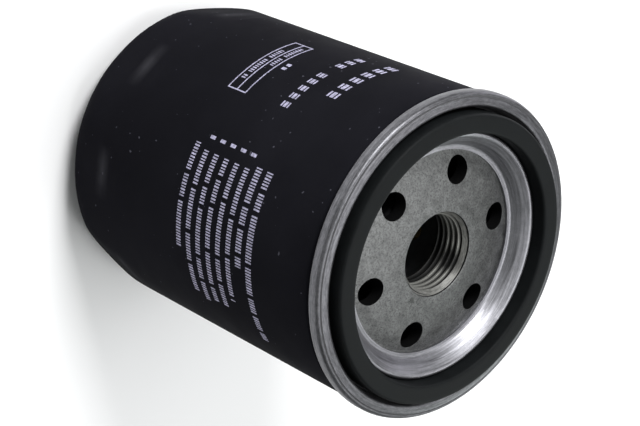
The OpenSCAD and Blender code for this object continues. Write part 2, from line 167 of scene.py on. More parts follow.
def leave_edit():
    """Goes to object mode with nothing selected."""
    if bpy.context.object and bpy.context.object.mode != "OBJECT":
        bpy.ops.object.mode_set(mode="OBJECT")
    bpy.ops.object.select_all(action="DESELECT")


def open_piece(piece):
    """Opens one piece in edit mode with nothing selected."""
    leave_edit()
    piece.select_set(True)
    bpy.context.view_layer.objects.active = piece
    bpy.ops.object.mode_set(mode="EDIT")
    bpy.ops.mesh.select_all(action="DESELECT")


def pick(piece, chosen, what="verts"):
    """Selects the vertices, edges or faces of the open piece that chosen(element) is true for."""
    mesh = bmesh.from_edit_mesh(piece.data)
    mesh.select_mode = {{"verts": "VERT", "edges": "EDGE", "faces": "FACE"}[what]}
    for element in getattr(mesh, what):
        element.select_set(bool(chosen(element)))
    mesh.select_flush_mode()
    bmesh.update_edit_mesh(piece.data)


def draw_profile(name, path, closed):
    """Draws a profile in the XZ plane from [r, z] or [r, z, corner radius], left open in edit mode."""
    leave_edit()
    bpy.ops.mesh.primitive_plane_add(size=MM)
    piece = bpy.context.object
    piece.name = piece.data.name = name
    bpy.ops.object.mode_set(mode="EDIT")
    bpy.ops.mesh.select_all(action="SELECT")
    bpy.ops.mesh.merge(type="CENTER")
    bpy.ops.transform.translate(value=(path[0][0], 0, path[0][1]))
    for a, b in zip(path, path[1:]):
        step = (b[0] - a[0], 0, b[1] - a[1])
        bpy.ops.mesh.extrude_vertices_move(TRANSFORM_OT_translate={"value": step})
    if closed:
        ends = [Vector((p[0], 0, p[1])) for p in (path[0], path[-1])]
        pick(piece, lambda v: min((v.co - end).length for end in ends) < TOUCH)
        bpy.ops.mesh.edge_face_add()
    count = len(path)
    for i, point in enumerate(path):
        if len(point) < 3:
            continue
        corner = Vector(point[:2])
        before = (Vector(path[i - 1][:2]) - corner).normalized()
        after = (Vector(path[(i + 1) % count][:2]) - corner).normalized()
        reach = point[2] / math.tan(before.angle(after) / 2)
        turn = math.pi - before.angle(after)
        steps = max(2, round(turn * max(3.5, math.sqrt(point[2] / MM) * 4)))
        pick(piece, lambda v: (v.co - Vector((corner.x, 0, corner.y))).length < TOUCH)
        bpy.ops.mesh.bevel(
            offset_type="OFFSET", offset=reach, segments=steps, profile=0.5, affect="VERTICES")
    return piece


def face_outwards():
    """Turns the faces of the open piece outwards and closes it."""
    bpy.ops.mesh.select_all(action="SELECT")
    bpy.ops.mesh.normals_make_consistent(inside=False)
    leave_edit()


def spin_profile(piece, steps):
    """Spins the open profile a full turn about Z and closes its seam and poles."""
    bpy.ops.mesh.select_all(action="SELECT")
    bpy.ops.mesh.spin(steps=steps, angle=FULL_TURN, center=(0, 0, 0), axis=(0, 0, 1))
    bpy.ops.mesh.select_all(action="SELECT")
    bpy.ops.mesh.remove_doubles(threshold=MERGE)
    face_outwards()
    return piece


def turned(name, path, steps, closed=True):
    """A turned piece from its profile."""
    return spin_profile(draw_profile(name, path, closed), steps)


def apply_modifier(piece, kind, settings):
    """Gives a piece one modifier and applies it."""
    leave_edit()
    piece.select_set(True)
    bpy.context.view_layer.objects.active = piece
    modifier = piece.modifiers.new(kind.title(), kind)
    for key, value in settings.items():
        setattr(modifier, key, value)
    bpy.ops.object.modifier_apply(modifier=modifier.name)


def give_wall(piece, wall):
    """Gives a sheet its thickness, centred on it."""
    apply_modifier(piece, "SOLIDIFY", {
        "thickness": wall, "offset": 0, "use_even_offset": True, "use_quality_normals": True})


def finish(piece, body, material, nodes=(), smooth=35):
    """Shades a piece, gives it its material and joins it to its body."""
    leave_edit()
    piece.select_set(True)
    bpy.context.view_layer.objects.active = piece
    bpy.ops.object.shade_smooth_by_angle(angle=math.radians(smooth))
    bpy.ops.object.transform_apply(location=True, rotation=True, scale=True)
    piece.data.materials.clear()
    piece.data.materials.append(material)
    if body:
        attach(piece, body)
    if nodes:
        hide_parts(*nodes)
    return piece


# ---------------------------------------------------------------- materials

# Fixed tones of dirt, oil and wear, and of painted shade and a painted highlight
# Painted highlight on the enamel at the top of the flats
RUBBED_ENAMEL = "#323236"
DUST_ON_ENAMEL = "#42424a"
PLATE_SMUDGE = "#202120"
THREAD_CRESTS = "#7e7e7a"
# Darker thread roots and lower turns: partly oil, partly painted shade
THREAD_ROOTS = "#1a1a1a"
THREAD_END = "#060606"
RUN_OIL = "#101010"
LEAD_IN_STEEL = "#5e5e5b"
# Near-black walls of the holes and of the thread's mouth: drawing oil and painted shade
PUNCHED_DARK = "#030303"
# Painted shade in the seam's groove and the gasket's channel
PUNCHED_LIGHT = "#0c0c0d"
GRIME_DARK = "#1e1e20"
GRIME_LIGHT = "#454548"


def add(tree, kind, settings=None, links=None):
    """Adds a node with its settings, and links its inputs to other nodes' outputs."""
    node = tree.nodes.new(kind)
    for key, value in (settings or {}).items():
        if isinstance(key, str) and hasattr(node, key):
            setattr(node, key, value)
        else:
            node.inputs[key].default_value = value
    for key, source in (links or {}).items():
        tree.links.new(source, node.inputs[key])
    return node


def new_material(name):
    """An empty material, with its node tree, its shader and a place in the object's own space."""
    material = bpy.data.materials.new(name)
    material.use_nodes = True
    tree = material.node_tree
    tree.nodes.clear()
    shader = add(tree, "ShaderNodeBsdfPrincipled")
    add(tree, "ShaderNodeOutputMaterial", links={"Surface": shader.outputs["BSDF"]})
    place = add(tree, "ShaderNodeTexCoord").outputs["Object"]
    return material, tree, shader, place


def coat(tree, shader, looks):
    """Sets the shader's inputs, or links them where they change over the surface."""
    for name, look in looks.items():
        if isinstance(look, bpy.types.NodeSocket):
            tree.links.new(look, shader.inputs[name])
        else:
            shader.inputs[name].default_value = look


def rgba(colour, gain=1.0):
    """A colour for a socket, made lighter or darker by a gain."""
    return [c * gain for c in colour] + [1]


def noise(tree, place, grain_mm, detail=3, rough=0.5):
    """Noise whose patches are about grain_mm across."""
    settings = {"Scale": 1 / (grain_mm * MM), "Detail": detail, "Roughness": rough}
    return add(tree, "ShaderNodeTexNoise", settings, {"Vector": place}).outputs["Fac"]


def between(tree, value, low, high, out_low, out_high):
    """Maps a value from one range onto another."""
    settings = {"From Min": low, "From Max": high, "To Min": out_low, "To Max": out_high}
    return add(tree, "ShaderNodeMapRange", settings, {"Value": value}).outputs["Result"]


def blended(tree, share, first, second):
    """Mixes two colours, or two colour outputs, by a share."""
    node = add(tree, "ShaderNodeMix", {"data_type": "RGBA"})
    for socket, colour in ((node.inputs[6], first), (node.inputs[7], second)):
        if isinstance(colour, bpy.types.NodeSocket):
            tree.links.new(colour, socket)
        else:
            socket.default_value = colour
    tree.links.new(share, node.inputs[0])
    return node.outputs[2]


def bumped(tree, height, depth_mm):
    """A bump of about depth_mm."""
    settings = {"Strength": 1.0, "Distance": depth_mm * MM}
    return add(tree, "ShaderNodeBump", settings, {"Height": height}).outputs["Normal"]


def round_place(tree, place, turn_mm):
    """Coordinates that follow a round piece: radius, height, and a slow run of turn_mm round the axis."""
    parts = add(tree, "ShaderNodeSeparateXYZ", links={"Vector": place}).outputs
    flat = add(tree, "ShaderNodeCombineXYZ", links={"X": parts["X"], "Y": parts["Y"]})
    radius = add(tree, "ShaderNodeVectorMath", {"operation": "LENGTH"}, {0: flat.outputs["Vector"]})
    angle = add(tree, "ShaderNodeMath", {"operation": "ARCTAN2"}, {0: parts["Y"], 1: parts["X"]})
    settings = {"operation": "MULTIPLY", 1: turn_mm * MM}
    run = add(tree, "ShaderNodeMath", settings, {0: angle.outputs["Value"]})
    links = {"X": radius.outputs["Value"], "Y": parts["Z"], "Z": run.outputs["Value"]}
    return add(tree, "ShaderNodeCombineXYZ", links=links).outputs["Vector"]


def rub_marks(tree, place):
    """Painted highlight: an uneven soft lighter streak at the top of each flat, standing in for the sheen
    that the flats catch.
    """
    s = sizes()
    streak_drop = 4 * MM
    streak_half = 3 * MM
    parts = add(tree, "ShaderNodeSeparateXYZ", links={"Vector": place}).outputs
    angle = add(tree, "ShaderNodeMath", {"operation": "ARCTAN2"}, {0: parts["Y"], 1: parts["X"]})
    settings = {"operation": "SUBTRACT", 1: s.flat_turn}
    turned_back = add(tree, "ShaderNodeMath", settings, {0: angle.outputs["Value"]})
    settings = {"operation": "MULTIPLY", 1: s.flat_count}
    waves = add(tree, "ShaderNodeMath", settings, {0: turned_back.outputs["Value"]})
    swell = add(tree, "ShaderNodeMath", {"operation": "COSINE"}, {0: waves.outputs["Value"]})
    across = between(tree, swell.outputs["Value"], 0.1, 1, 0, 1)
    settings = {"operation": "SUBTRACT", 1: s.flat_top - streak_drop}
    lift = add(tree, "ShaderNodeMath", settings, {0: parts["Z"]})
    height = add(tree, "ShaderNodeMath", {"operation": "ABSOLUTE"}, {0: lift.outputs["Value"]})
    near = between(tree, height.outputs["Value"], 0, streak_half, 1, 0)
    mark = add(tree, "ShaderNodeMath", {"operation": "MULTIPLY"}, {0: across, 1: near})
    patchy = between(tree, noise(tree, place, 9), 0.3, 0.6, 0.25, 0.9)
    links = {0: mark.outputs["Value"], 1: patchy}
    return add(tree, "ShaderNodeMath", {"operation": "MULTIPLY"}, links).outputs["Value"]


def black_stoving_enamel():
    """Sprayed and baked enamel: nearly black and satin, with orange peel, dust, and a painted highlight
    streak at the top of each flat.

    Real dust is finer than these specks, which are drawn at 0.9 mm so that they show.
    """
    material, tree, shader, place = new_material("black_stoving_enamel")
    colour = finishes().enamel
    drift = between(tree, noise(tree, place, 26), 0.35, 0.65, 0, 1)
    shade = blended(tree, drift, rgba(colour, 0.86), rgba(colour, 1.16))
    specks = between(tree, noise(tree, place, 0.9, detail=0), 0.835, 0.86, 0, 1)
    # Painted highlight: a lighter streak at the top of each flat
    rubbed = blended(tree, rub_marks(tree, place), shade, rgba(linear(RUBBED_ENAMEL)))
    coat(tree, shader, {
        "Base Color": blended(tree, specks, rubbed, rgba(linear(DUST_ON_ENAMEL))),
        "Roughness": between(tree, noise(tree, place, 7, detail=4), 0.3, 0.7, 0.52, 0.62),
        "Specular IOR Level": 0.004,
        "Normal": bumped(tree, noise(tree, place, 0.9, detail=2), 0.012),
    })
    return material


def screen_ink():
    """Pale screen ink: matt, a little thin and uneven where the mesh let less through."""
    material, tree, shader, place = new_material("screen_ink")
    colour = finishes().ink
    cover = between(tree, noise(tree, place, 0.6, detail=4, rough=0.7), 0.38, 0.6, 0, 1)
    coat(tree, shader, {
        "Base Color": blended(tree, cover, rgba(colour, 0.5), rgba(colour, 1.1)),
        "Roughness": 0.6,
    })
    return material


def tinplate():
    """Electro-tinned sheet, drawn and rolled: grey metal with scratches round the axis and dull patches.

    Real scratches are hairlines. They are drawn 0.4 mm wide here, so that they show.
    """
    material, tree, shader, place = new_material("tinplate")
    colour = finishes().tinplate
    around = round_place(tree, place, 1.3)
    scratches = noise(tree, around, 0.42, detail=5, rough=0.75)
    bands = noise(tree, round_place(tree, place, 0.5), 0.8, detail=3, rough=0.6)
    patches = noise(tree, place, 1.3, detail=5, rough=0.75)
    drawn = blended(tree, between(tree, bands, 0.36, 0.6, 0, 1), rgba(colour, 0.88), rgba(colour, 1.3))
    tone = blended(tree, between(tree, patches, 0.36, 0.64, 0.4, 0), drawn, rgba(colour, 0.66))
    scored = blended(tree, between(tree, scratches, 0.34, 0.56, 0.75, 0), tone, rgba(colour, 0.42))
    radius = add(tree, "ShaderNodeSeparateXYZ", links={"Vector": around}).outputs["X"]
    rolled = between(tree, radius, LID_HIGH.x - 4 * MM, LID_HIGH.x - 3.4 * MM, 0, 1)
    scuff_grain = noise(tree, round_place(tree, place, 8), 0.4, detail=4, rough=0.8)
    scuffs = between(tree, scuff_grain, 0.36, 0.62, 0.33, 0.6)
    settings = {"data_type": "RGBA", "blend_type": "MULTIPLY"}
    worn = add(tree, "ShaderNodeMix", settings, {0: rolled, 6: scored, 7: scuffs})
    coat(tree, shader, {
        "Base Color": worn.outputs[2],
        "Metallic": 1.0,
        "Roughness": between(tree, scratches, 0.3, 0.7, 0.36, 0.5),
        "Normal": bumped(tree, scratches, 0.014),
    })
    return material


def pressed_steel():
    """Hot-rolled plate, pickled and oiled: matt grey with mottling, fine pitting and a smudge.

    Real pits are finer than the 0.45 mm that they are drawn at here.
    """
    material, tree, shader, place = new_material("pressed_steel")
    colour = finishes().plate
    mottle = noise(tree, place, 2.2, detail=6, rough=0.7)
    grain = noise(tree, place, 0.45, detail=3, rough=0.7)
    tone = blended(tree, between(tree, mottle, 0.36, 0.64, 0, 1), rgba(colour, 0.72), rgba(colour, 1.2))
    pitted = blended(tree, between(tree, grain, 0.30, 0.54, 0.9, 0), tone, rgba(colour, 0.32))
    smudge_at = (-1.9 * MM, 11.6 * MM, PLATE_HIGH.z - 1 * MM)
    settings = {"operation": "DISTANCE", 1: smudge_at}
    away = add(tree, "ShaderNodeVectorMath", settings, {0: place}).outputs["Value"]
    ragged = add(tree, "ShaderNodeMath", {"operation": "MULTIPLY"}, {0: away, 1: grain})
    smudge = between(tree, ragged.outputs["Value"], 0.3 * MM, 0.75 * MM, 0.8, 0)
    coat(tree, shader, {
        "Base Color": blended(tree, smudge, pitted, rgba(linear(PLATE_SMUDGE))),
        "Metallic": 1.0,
        "Roughness": between(tree, mottle, 0.3, 0.7, 0.44, 0.56),
        "Normal": bumped(tree, grain, 0.03),
    })
    return material


def wetted(tree, place, tone):
    """Darkens a tone where oil has run down one side of the thread."""
    wet_at = (-8.3 * MM, -2.6 * MM, PLATE_HIGH.z - 3.9 * MM)
    settings = {"operation": "DISTANCE", 1: wet_at}
    away = add(tree, "ShaderNodeVectorMath", settings, {0: place}).outputs["Value"]
    wet = between(tree, away, 1.8 * MM, 4 * MM, 0.95, 0)
    return blended(tree, wet, tone, rgba(linear(RUN_OIL)))


def cut_thread_steel():
    """Thread cut into the plate: bright crests and tool marks along it, with dark roots and lower turns,
    partly oil and partly painted shade.
    """
    material, tree, shader, place = new_material("cut_thread_steel")
    s = sizes()
    colour = linear(THREAD_CRESTS)
    around = round_place(tree, place, 2.0)
    marks = noise(tree, around, 0.10, detail=3)
    parts = add(tree, "ShaderNodeSeparateXYZ", links={"Vector": around}).outputs
    # Painted shade with oil: darker towards the thread's roots
    root = between(tree, parts["X"], s.thread_r + 0.1 * MM, s.thread_r + 0.6 * MM, 0, 1)
    crest = wetted(tree, place, blended(tree, marks, rgba(colour, 0.8), rgba(colour, 1.3)))
    turns = blended(tree, root, crest, rgba(linear(THREAD_ROOTS)))
    # Painted shade with oil: the lower turns of the thread go nearly black
    deep = between(tree, parts["Y"], PLATE_LOW.z + 2.4 * MM, PLATE_LOW.z + 3.6 * MM, 0.96, 0)
    coat(tree, shader, {
        "Base Color": blended(tree, deep, turns, rgba(linear(THREAD_END))),
        "Metallic": 0.5,
        "Roughness": between(tree, marks, 0.3, 0.7, 0.28, 0.42),
        "Normal": bumped(tree, marks, 0.01),
    })
    return material


def countersunk_steel():
    """Cut lead-in over the thread: evener and paler than the plate round it, with coarse tool marks."""
    material, tree, shader, place = new_material("countersunk_steel")
    marks = noise(tree, round_place(tree, place, 2.0), 0.3, detail=3)
    colour = linear(LEAD_IN_STEEL)
    tone = blended(tree, between(tree, marks, 0.35, 0.6, 0, 1), rgba(colour, 0.6), rgba(colour, 1.25))
    coat(tree, shader, {
        "Base Color": wetted(tree, place, tone),
        "Metallic": 0.25,
        "Roughness": 0.5,
        "Normal": bumped(tree, marks, 0.01),
    })
    return material


def oily_punched_edge():
    """Sheared wall of a punched hole, also used on the step of the thread's mouth: torn and near black,
    partly drawing oil and partly painted shade.
    """
    material, tree, shader, place = new_material("oily_punched_edge")
    tears = noise(tree, place, 0.3, detail=4)
    coat(tree, shader, {
        "Base Color": blended(tree, tears, rgba(linear(PUNCHED_DARK)), rgba(linear(PUNCHED_LIGHT))),
        "Roughness": 0.6,
        "Specular IOR Level": 0.1,
        "Normal": bumped(tree, tears, 0.05),
    })
    return material


def seam_groove_grime():
    """Painted shade in the bottom of the seam's groove and in the gasket's channel, where shadow falls: a
    noisy dark grey.
    """
    material, tree, shader, place = new_material("seam_groove_grime")
    # Noise that varies the painted shade
    dust = noise(tree, place, 1.2, detail=4)
    coat(tree, shader, {
        "Base Color": blended(tree, dust, rgba(linear(GRIME_DARK)), rgba(linear(GRIME_LIGHT))),
        "Roughness": 0.7,
        "Normal": bumped(tree, dust, 0.03),
    })
    return material


def nitrile_rubber(name, colour, roughness):
    """Moulded nitrile rubber: charcoal, dull, with a fine matt skin and a little bloom."""
    material, tree, shader, place = new_material(name)
    bloom = noise(tree, place, 5, detail=5, rough=0.6)
    share = between(tree, bloom, 0.35, 0.7, 0, 1)
    coat(tree, shader, {
        "Base Color": blended(tree, share, rgba(colour, 0.85), rgba(colour, 1.25)),
        "Roughness": between(tree, bloom, 0.3, 0.7, roughness - 0.05, roughness + 0.06),
        "Specular IOR Level": 0.08,
        "Normal": bumped(tree, noise(tree, place, 0.22, detail=2), 0.015),
    })
    return material


def plain_steel(name, hex_colour, roughness):
    """Bright strip steel of the hidden pieces: cloudy gloss of an oil film over fine rolling lines."""
    material, tree, shader, place = new_material(name)
    colour = linear(hex_colour)
    film = noise(tree, place, 4, detail=4)
    lines = noise(tree, round_place(tree, place, 1.2), 0.2, detail=3)
    coat(tree, shader, {
        "Base Color": blended(tree, film, rgba(colour, 0.8), rgba(colour, 1.15)),
        "Metallic": 1.0,
        "Roughness": between(tree, film, 0.3, 0.7, roughness - 0.06, roughness + 0.08),
        "Normal": bumped(tree, lines, 0.012),
    })
    return material


def filter_paper():
    """Resin-treated cellulose: warm tan, matt, with fibres drawn coarser than real ones so that they show."""
    material, tree, shader, place = new_material("filter_paper")
    colour = finishes().paper
    fibres = noise(tree, place, 0.35, detail=6, rough=0.75)
    share = between(tree, fibres, 0.3, 0.7, 0, 1)
    coat(tree, shader, {
        "Base Color": blended(tree, share, rgba(colour, 0.72), rgba(colour, 1.08)),
        "Roughness": 0.92,
        "Normal": bumped(tree, fibres, 0.08),
    })
    return material


def cured_paste(name, colour):
    """Poured paste that has set: waxy and slightly lumpy."""
    material, tree, shader, place = new_material(name)
    lumps = noise(tree, place, 2.2, detail=3)
    coat(tree, shader, {
        "Base Color": blended(tree, lumps, rgba(colour, 0.85), rgba(colour, 1.1)),
        "Roughness": 0.45,
        "Normal": bumped(tree, lumps, 0.2),
    })
    return material


# ---------------------------------------------------------------- pieces


class OILFILTER_OT_can(bpy.types.Operator):
    """Draws the can, presses its wrench flats and paints it"""

    bl_idname = "oilfilter.can"
    bl_label = "Can"

    def execute(self, context):
        s = sizes()
        half = s.can_wall / 2
        rim_z = LID_HIGH.z - s.rim_crown
        neck_r = s.can_r - s.neck_in
        path = [
            [0, s.recess_h + half],
            [s.recess_r - 2.2 * MM, s.recess_h + half, 1.5 * MM],
            [s.recess_r, half, 1.5 * MM],
            [s.can_r - half, half, s.corner_r - half],
            [s.can_r - half, rim_z - s.seam_h - 1.6 * MM, 1 * MM],
            [neck_r, rim_z - s.seam_h, 1 * MM],
            [neck_r, rim_z - 1.2 * MM],
        ]
        piece = draw_profile("can_shell", path, closed=False)
        self.cut_wall(piece, s)
        spin_profile(piece, 288)
        self.press_flats(piece, s)
        give_wall(piece, s.can_wall)
        finish(piece, "housing", black_stoving_enamel(), ["can"], smooth=50)
        return {"FINISHED"}

    def cut_wall(self, piece, s):
        """Cuts the straight wall into short lengths, closer together where the flats are pressed."""
        split_z = s.flat_top + 3 * MM

        def rise(edge):
            return abs(edge.verts[0].co.z - edge.verts[1].co.z)

        def in_flats(edge):
            low = max(v.co.z for v in edge.verts) < split_z + MM
            return edge.verts[0].co.x > s.can_r - MM and low and rise(edge) > 5 * MM

        pick(piece, lambda edge: rise(edge) > 40 * MM, "edges")
        bpy.ops.mesh.bisect(plane_co=(0, 0, split_z), plane_no=(0, 0, 1))
        pick(piece, in_flats, "edges")
        bpy.ops.mesh.subdivide(number_cuts=18)
        pick(piece, lambda edge: rise(edge) > 40 * MM, "edges")
        bpy.ops.mesh.subdivide(number_cuts=7)

    def press_flats(self, piece, s):
        """Moves the wall in to soft-edged flats, each deeper towards the closed end."""
        soft = 0.8 * MM
        step = FULL_TURN / s.flat_count
        slope = s.flat_depth / (s.flat_top - s.corner_r)
        for vertex in piece.data.vertices:
            r = math.hypot(vertex.co.x, vertex.co.y)
            if vertex.co.z > s.flat_top + 2 * MM or r < s.can_r / 2:
                continue
            turn = math.atan2(vertex.co.y, vertex.co.x) - s.flat_turn
            turn = (turn + step / 2) % step - step / 2
            flat_r = (s.can_r - s.can_wall / 2 - slope * (s.flat_top - vertex.co.z)) / math.cos(turn)
            nearness = max(soft - abs(r - flat_r), 0) / soft
            lower = min(r, flat_r) - nearness * nearness * soft / 4
            vertex.co.x *= lower / r
            vertex.co.y *= lower / r


class OILFILTER_OT_print(bpy.types.Operator):
    """Prints plain bars and a ruled box on the can, in place of any words"""

    bl_idname = "oilfilter.print"
    bl_label = "Printed marks"

    # Width of one cell of a bar, and the gaps between cells and between bars
    CELL = 0.4 * MM
    CELL_GAP = 0.33 * MM
    BAR_GAP = 0.85 * MM
    # Each row of the block: the turns of its start and end in degrees, and its bars' sizes in pairs of cells
    ROWS = (
        (14.6, 80, (3, 3, 8, 5)),
        (14.6, 51, (6, 3, 4)),
        (16.4, 66, (8, 6, 7)),
        (16.4, 70, (6, 9, 4, 5)),
        (16.4, 72, (3, 4, 7, 6)),
        (16.4, 73, (5, 3, 8, 4)),
        (16.4, 70, (6, 7, 5)),
        (14.8, 54, (5, 4, 9)),
    )
    TOP_ROW_Z = 73.7 * MM
    ROW_STEP = 3.557 * MM
    BOLD_ROWS = 2
    BOLD_TALL = 2.3 * MM
    PLAIN_TALL = 1.9 * MM
    # Each heading: its start and end in degrees, its z, height and bar width in mm, and a bar left out
    HEADINGS = (
        (-49.8, -17.7, 74, 3.4, 1.9, None),
        (-46.8, -7.4, 65.4, 2.7, 1.55, 3),
    )

    def execute(self, context):
        s = sizes()
        leave_edit()
        bpy.ops.mesh.primitive_cube_add(size=0.1 * MM, location=(s.can_r, 0, 74 * MM))
        piece = bpy.context.object
        piece.name = piece.data.name = "printed_marks"
        bpy.ops.object.transform_apply(location=True)
        bpy.ops.object.mode_set(mode="EDIT")
        bpy.ops.mesh.select_all(action="SELECT")
        bpy.ops.mesh.delete(type="VERT")
        self.block(s)
        self.headings(s)
        self.ruled_box(s)
        leave_edit()
        finish(piece, "housing", screen_ink(), smooth=30)
        return {"FINISHED"}

    def dash(self, s, turn, z, width, height):
        """One flat dash on the wall, its middle at a turn in degrees and a height."""
        a = math.radians(turn)
        r = s.can_r
        bpy.ops.mesh.primitive_cube_add(
            size=1, location=(r * math.cos(a), r * math.sin(a), z), rotation=(0, 0, a),
            scale=(2 * s.ink_h, width, height))

    def bars(self, s, start, end, z, tall, lengths):
        """A row of bars of several cells each, from one turn to another."""
        turn_per_m = math.degrees(1 / s.can_r)
        turn = start
        i = 0
        while True:
            for k in range(2 * lengths[i % len(lengths)]):
                width = self.CELL * (1.0 if (k + 2 * i) % 3 else 0.7)
                if turn + width * turn_per_m > end:
                    return
                self.dash(s, turn + width * turn_per_m / 2, z, width, 0.82 * tall)
                turn += (width + self.CELL_GAP) * turn_per_m
            turn += self.BAR_GAP * turn_per_m
            i += 1

    def block(self, s):
        """Eight rows: two bold ones, five with a mark before them, and a last one."""
        for i, (start, end, lengths) in enumerate(self.ROWS):
            z = self.TOP_ROW_Z - i * self.ROW_STEP
            bold = i < self.BOLD_ROWS
            self.bars(s, start, end, z, self.BOLD_TALL if bold else self.PLAIN_TALL, lengths)
            if not bold and i < len(self.ROWS) - 1:
                self.dash(s, 11.4, z, 0.8 * MM, 1.7 * MM)

    def headings(self, s):
        """Two larger rows of spaced bars, and a small pair over the ruled box."""
        for start, end, z, tall, wide, left_out in self.HEADINGS:
            count = int((end - start) / math.degrees(wide * 1.75 / s.can_r * MM))
            for k in range(count):
                if k == left_out:
                    continue
                turn = start + (k + 0.5) * (end - start) / count
                self.dash(s, turn, z * MM, wide * MM, tall * 0.3 * MM)
                self.dash(s, turn, (z + tall * 0.36) * MM, wide * MM, tall * 0.16 * MM)
                self.dash(s, turn, (z - tall * 0.36) * MM, wide * MM, tall * 0.16 * MM)
        for turn in (-26, -23.6):
            self.dash(s, turn, 55 * MM, 0.9 * MM, 1.3 * MM)

    def ruled_box(self, s):
        """A box ruled in fine lines, with a divider and two rows of small bars."""
        left, right, low, high = -40.4, -7.9, 46.5, 52.5
        line = 0.32
        middle = (low + high) / 2
        steps = 26
        width = math.radians(right - left) * s.can_r / steps
        for z in (low, middle, high):
            for k in range(steps):
                turn = left + (k + 0.5) * (right - left) / steps
                self.dash(s, turn, z * MM, width * 1.02, line * MM)
        for turn in (left, right):
            self.dash(s, turn, middle * MM, line * MM, (high - low + line) * MM)
        self.bars(s, left + 3, -22, 51.0 * MM, 1.4 * MM, (4, 3))
        self.bars(s, left + 8, -13, 48.0 * MM, 1.5 * MM, (3, 4, 2))


class OILFILTER_OT_lid(bpy.types.Operator):
    """Presses the lid with its rolled seam, gasket channel, inner lip and recess wall"""

    bl_idname = "oilfilter.lid"
    bl_label = "Seaming lid"

    def execute(self, context):
        s = sizes()
        half = s.lid_wall / 2
        rim_z = LID_HIGH.z - s.rim_crown
        channel_z = GASKET_LOW.z - half
        band_r = LID_HIGH.x - half
        chuck_r = LID_HIGH.x - 3.2 * MM
        lip_r = GASKET_HIGH.x - s.gasket_w - LIP_GAP - half
        open_r = lip_r + half - RECESS_RUN
        groove_r = LID_HIGH.x - 1.15 * MM
        groove_half = 0.3 * MM
        hook_r = band_r - 1.27 * MM

        def crown_z(r):
            return rim_z - half + s.rim_crown * (band_r - r) / (band_r - chuck_r)

        piece = turned("seamed_lid", [
            [hook_r, rim_z - 1.6 * MM],
            [hook_r, rim_z - s.seam_h + half, 0.55 * MM],
            [band_r, rim_z - s.seam_h + half, 0.55 * MM],
            [band_r, rim_z - half, 0.8 * MM],
            [groove_r + groove_half, crown_z(groove_r + groove_half), 0.2 * MM],
            [groove_r, crown_z(groove_r) - 0.14 * MM, 0.12 * MM],
            [groove_r - groove_half, crown_z(groove_r - groove_half), 0.2 * MM],
            [chuck_r, rim_z + s.rim_crown - half, 0.55 * MM],
            [chuck_r - 0.6 * MM, channel_z, 0.8 * MM],
            [lip_r, channel_z, 0.7 * MM],
            [lip_r, rim_z - 0.4 * MM, 0.6 * MM],
            [open_r + 2.5 * MM, channel_z + 2.2 * MM, 2 * MM],
            [open_r + 1.2 * MM, channel_z, 0.8 * MM],
            [open_r, channel_z],
        ], steps=288, closed=False)
        give_wall(piece, s.lid_wall)
        finish(piece, "housing", tinplate(), ["seaming_lid"], smooth=60)
        # The seam's groove and the gasket's channel get the painted shade
        piece.data.materials.append(seam_groove_grime())
        for face in piece.data.polygons:
            r = math.hypot(face.center.x, face.center.y)
            in_groove = abs(r - groove_r) < 0.16 * MM and face.center.z > rim_z - 0.6 * MM
            over_channel = channel_z - MM < face.center.z < rim_z - 0.7 * MM
            in_channel = lip_r + MM < r < chuck_r + MM and over_channel
            if in_groove or in_channel:
                face.material_index = 1
        return {"FINISHED"}


